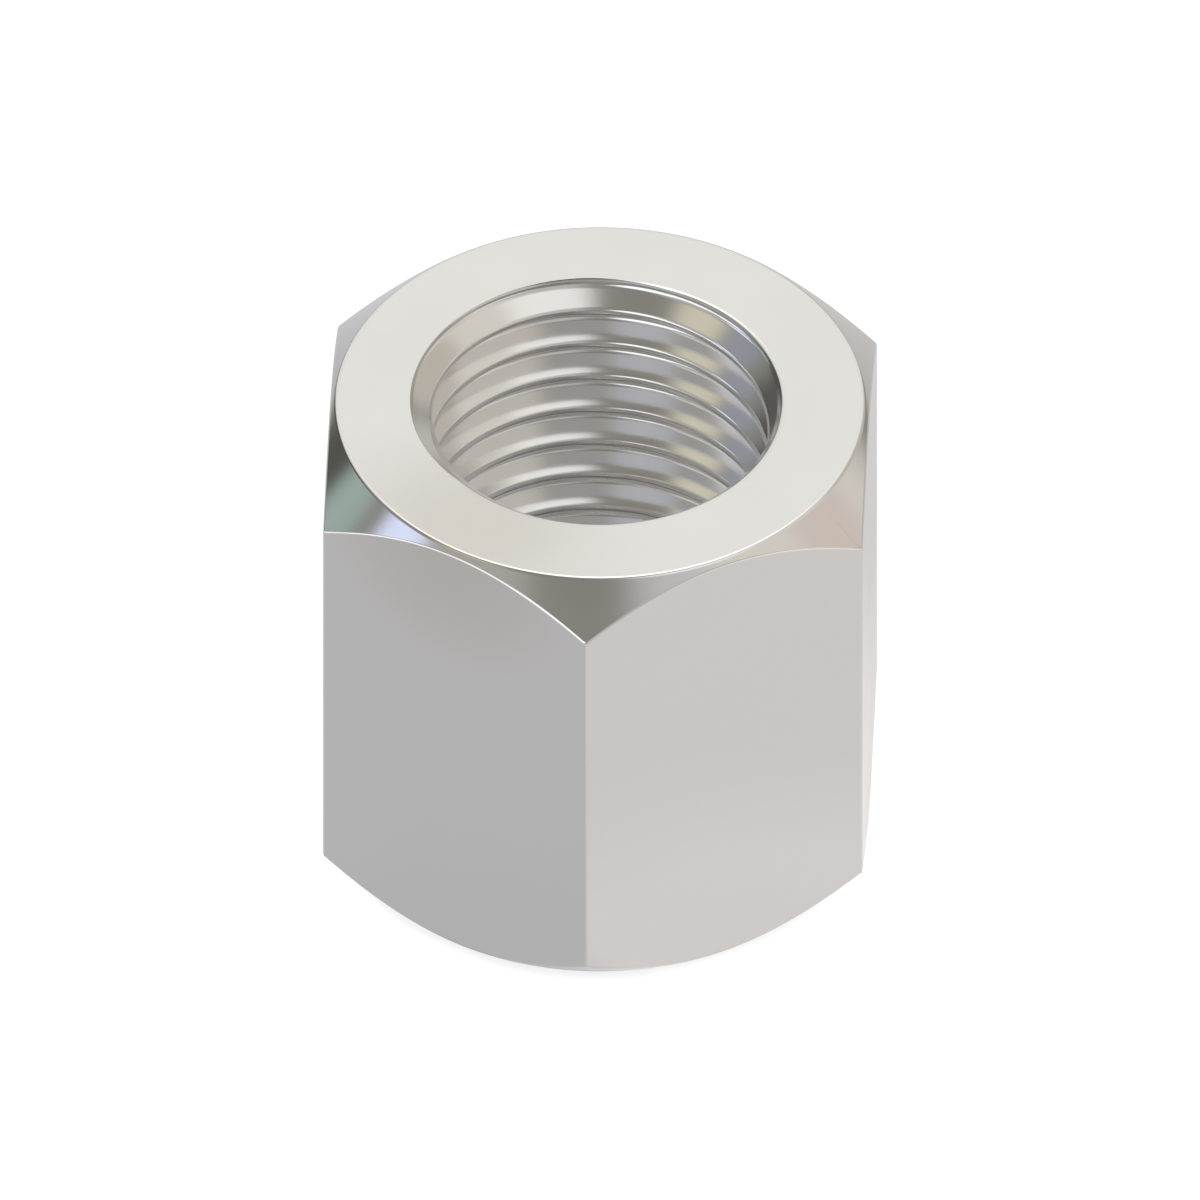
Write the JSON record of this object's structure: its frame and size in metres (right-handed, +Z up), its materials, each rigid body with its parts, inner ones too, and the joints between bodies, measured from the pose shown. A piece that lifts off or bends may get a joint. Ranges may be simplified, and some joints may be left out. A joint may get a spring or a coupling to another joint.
{
  "type": "tube nut",
  "caption": "Hexagonal tube nut with chamfered corners at both ends and a right-hand thread all the way through.",
  "frame": {"origin": "centre of the lower end face, on the thread's axis", "axes": "+Z up along the thread's axis; two of the six flats face +X and -X, and two corners point to +Y and -Y"},
  "size_m": [0.0156, 0.0182, 0.0153],
  "materials": {
    "steel": "satin"
  },
  "bodies": {
    "root": {"tube_nut": "steel"}
  },
  "joints": []
}
